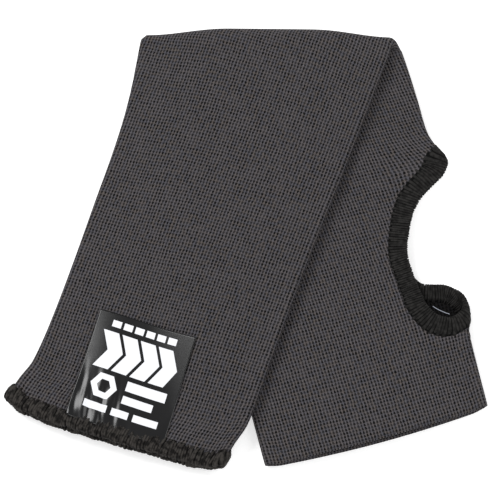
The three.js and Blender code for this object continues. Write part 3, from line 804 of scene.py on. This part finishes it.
def ink_mark(corners):
    """A patch of ink between four corners, each across and up on the tag, from the lower left round."""
    corners = np.array(corners, float)
    wide, tall = (int(max(np.linalg.norm(corners[i] - corners[0]), 2)) for i in (1, 3))
    bpy.ops.mesh.primitive_grid_add(x_subdivisions=wide, y_subdivisions=tall, size=2)
    mark = bpy.context.object
    share = (coordinates(mark.data)[:, :2] + 1) / 2
    low = corners[0] + share[:, :1] * (corners[1] - corners[0])
    high = corners[3] + share[:, :1] * (corners[2] - corners[3])
    place = low + share[:, 1:] * (high - low)
    height = np.full(len(place), LABEL_THICKNESS + INK_THICKNESS / 2)
    move_to(mark.data, on_label(place[:, 0], place[:, 1], height))
    return mark


def ink_bar(left, low, width, height, slant=0.0):
    """A bar of ink, whose upper edge is shifted to the right by its slant."""
    right, top = left + width, low + height
    return ink_mark([(left, low), (right, low), (right + slant, top), (left + slant, top)])


marks = [ink_bar(-17.5 + 6 * k, 47, 4.6, 3.4) for k in range(6)]
for k in range(4):
    marks.append(ink_bar(-20.8 + 9.8 * k, 25.6, 8, 9.4, 5))
    marks.append(ink_bar(-15.8 + 9.8 * k, 35, 8, 9.4, -5))
for left, low, width, height in [(-1, 18.2, 21, 5), (-1, 11.6, 16, 4)]:
    marks.append(ink_bar(left, low, width, height))
for left, width in [(-19, 12), (-4.5, 9), (7, 13)]:
    marks.append(ink_bar(left, 4.6, width, 3.6))
corner_angles = np.radians(np.arange(0, 420, 60))
hexagon = np.stack([np.cos(corner_angles), np.sin(corner_angles)], -1)
for first, second in zip(hexagon[:-1], hexagon[1:]):
    outer = [HEXAGON_MIDDLE + HEXAGON_RADIUS * corner for corner in (first, second)]
    inner = [HEXAGON_MIDDLE + HEXAGON_HOLE * corner for corner in (second, first)]
    marks.append(ink_mark(outer + inner))
for mark in marks:
    mark.select_set(True)
bpy.context.view_layer.objects.active = marks[0]
bpy.ops.object.join()
tag_print = bpy.context.object
tag_print.name = "tag_print"
bpy.ops.object.mode_set(mode="EDIT")
bpy.ops.mesh.select_all(action="SELECT")
bpy.ops.mesh.normals_make_consistent(inside=False)
bpy.ops.object.mode_set(mode="OBJECT")
bpy.ops.object.modifier_add(type="SOLIDIFY")
tag_print.modifiers[-1].thickness = INK_THICKNESS * MM
tag_print.modifiers[-1].offset = 0
bpy.ops.object.modifier_apply(modifier=tag_print.modifiers[-1].name)
ink = Shader("white_ink", 0.45)
ink.surface.inputs["Base Color"].default_value = (0.82, 0.83, 0.86, 1)
tag_print.data.materials.append(ink.material)
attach(tag_print, "root")

# Floor: a plain white sheet, lit a little from below as on a light table, so that shadows on it stay faint.
bpy.ops.object.select_all(action="DESELECT")
bpy.ops.mesh.primitive_plane_add(size=6, location=(0, 0, -0.0002))
floor = bpy.context.object
floor.name = "floor"
card = Shader("card", 0.9)
card.surface.inputs["Base Color"].default_value = (0.9, 0.9, 0.9, 1)
card.surface.inputs["Emission Color"].default_value = (1, 1, 1, 1)
card.surface.inputs["Emission Strength"].default_value = 0.45
floor.data.materials.append(card.material)

# Light: an even room, a large soft lamp from the upper left and two weaker ones from the right and front.
world = bpy.data.worlds.new("room")
world.use_nodes = True
world.node_tree.nodes["Background"].inputs["Color"].default_value = (1, 1, 1, 1)
world.node_tree.nodes["Background"].inputs["Strength"].default_value = 0.42
bpy.context.scene.world = world
bpy.context.scene.view_settings.view_transform = "Standard"


def soft_lamp(name, place, size, power):
    """A square lamp turned to the sleeve, its place and size in metres and its power in watts."""
    bpy.ops.object.light_add(type="AREA", location=place)
    lamp = bpy.context.object
    lamp.name = name
    lamp.data.size = size
    lamp.data.energy = power
    lamp.rotation_euler = (-Vector(place)).to_track_quat("-Z", "Y").to_euler()


soft_lamp("key_lamp", (-0.9, 0.75, 1.3), 0.8, 20)
soft_lamp("right_lamp", (1.15, 0.2, 0.95), 1.0, 8)
soft_lamp("front_lamp", (-0.1, -1.35, 0.95), 1.2, 9)

# Camera at the photograph's angle, far off with a long lens.
CAMERA_ELEVATION = math.radians(72.454)
CAMERA_AZIMUTH = math.radians(1.035)
CAMERA_ROLL = math.radians(0.391)
CAMERA_DISTANCE = 1.742
CAMERA_TARGET = Vector((1.1, -2.5, 8)) * MM
FRAME_WIDTH_AT_TARGET = 255.538 * MM
back = Vector((
    math.sin(CAMERA_AZIMUTH) * math.cos(CAMERA_ELEVATION),
    -math.cos(CAMERA_AZIMUTH) * math.cos(CAMERA_ELEVATION),
    math.sin(CAMERA_ELEVATION),
))
bpy.ops.object.camera_add(location=CAMERA_TARGET + back * CAMERA_DISTANCE)
camera = bpy.context.object
turn = (-back).to_track_quat("-Z", "Y").to_matrix() @ Matrix.Rotation(-CAMERA_ROLL, 3, "Z")
camera.rotation_euler = turn.to_euler()
camera.data.lens = camera.data.sensor_width * CAMERA_DISTANCE / FRAME_WIDTH_AT_TARGET
camera.data.clip_end = 10
bpy.context.scene.camera = camera
